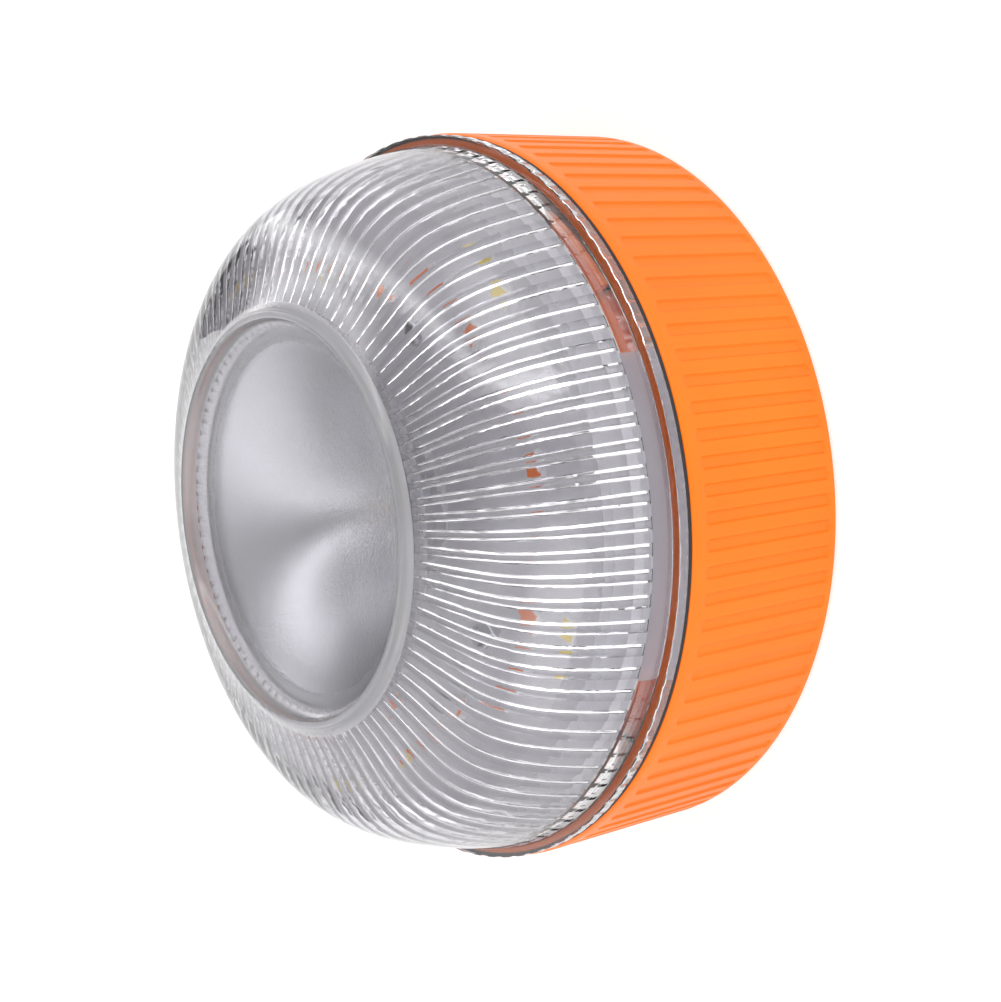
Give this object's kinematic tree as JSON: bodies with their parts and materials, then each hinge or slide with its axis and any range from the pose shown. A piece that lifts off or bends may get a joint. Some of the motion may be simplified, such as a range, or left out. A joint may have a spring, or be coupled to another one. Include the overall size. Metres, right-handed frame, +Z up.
{
  "type": "magnetic emergency beacon",
  "caption": "Round magnetic LED hazard beacon with a clear ribbed lens on an orange base; the lens twists off over the battery.",
  "frame": {"origin": "centre of the underside, on the foot pad's lower face", "axes": "+Z up along the beacon's axis, from the magnetic foot to the frosted dish"},
  "size_m": [0.1, 0.1, 0.0531],
  "materials": {
    "orange_shell": "satin moulded ABS, bright signal orange",
    "clear_lens": "clear polycarbonate with a frosted top dish",
    "black_plastic": "fine-textured black ABS",
    "white_plastic": "smooth white ABS",
    "grey_plastic": "plain grey ABS",
    "white_board": "glass-epoxy board with white solder mask",
    "amber_chip": "LED chip with amber phosphor window",
    "white_chip": "LED chip with yellow phosphor window",
    "metallised": "vacuum-metallised plastic, satin",
    "chip_black": "black epoxy",
    "coil_ferrite": "ferrite and varnish",
    "battery_can": "printed metal can, plain",
    "contact_metal": "nickel-plated contacts",
    "lead_insulation": "PVC-insulated wire",
    "steel_screws": "zinc-plated screws",
    "spring_steel": "spring wire",
    "zinc_plate": "zinc-plated steel",
    "magnet": "ferrite ring magnet",
    "gasket_rubber": "black NBR",
    "foot_rubber": "black foam rubber",
    "button_rubber": "soft-touch dark grey"
  },
  "bodies": {
    "base": {"housing": "orange_shell", "bottom_cover": "black_plastic", "cover_screws": "steel_screws", "foot_pad": "foot_rubber", "magnet_ring": "magnet", "magnet_plate": "zinc_plate", "button_retainer": "black_plastic", "button_spring": "spring_steel"},
    "button": {"power_button": "button_rubber"},
    "seal": {"gasket": "gasket_rubber"},
    "lens_unit": {"lens": "clear_lens", "light_deck": "white_plastic", "led_board": "white_board", "board_screws": "steel_screws", "amber_leds": "amber_chip", "white_leds": "white_chip", "torch_led": "white_chip", "torch_reflector": "metallised", "driver_chip": "chip_black", "driver_coil": "coil_ferrite", "battery_box": "grey_plastic", "box_screws": "steel_screws", "battery": "battery_can", "battery_terminals": "contact_metal", "snap_connector": "grey_plastic", "battery_leads": "lead_insulation", "tact_switch": "chip_black"},
    "plunger": {"switch_plunger": "grey_plastic"}
  },
  "joints": [
    {"name": "button_press", "type": "slide", "parent": "base", "child": "button", "axis": [0, 0, 1], "range_m": [0, 0.0008], "stiffness_N_per_m": 600, "springref_m": -0.001, "deforming": ["button_spring"]},
    {"name": "seal_lift", "type": "slide", "parent": "base", "child": "seal", "axis": [0, 0, 1], "range_m": [0, 0.0053]},
    {"name": "lens_twist", "type": "hinge", "parent": "seal", "child": "lens_unit", "pos_m": [0, 0, 0.0261], "axis": [0, 0, 1], "range_deg": [0, 180]},
    {"name": "plunger_travel", "type": "slide", "parent": "lens_unit", "child": "plunger", "axis": [0, 0, 1], "range_m": [0, 0.0008]}
  ],
  "couplings": [
    {"joint": "seal_lift", "follows": "lens_twist", "m_per_rad": 0.00167},
    {"joint": "plunger_travel", "follows": "button_press", "ratio": 1}
  ]
}
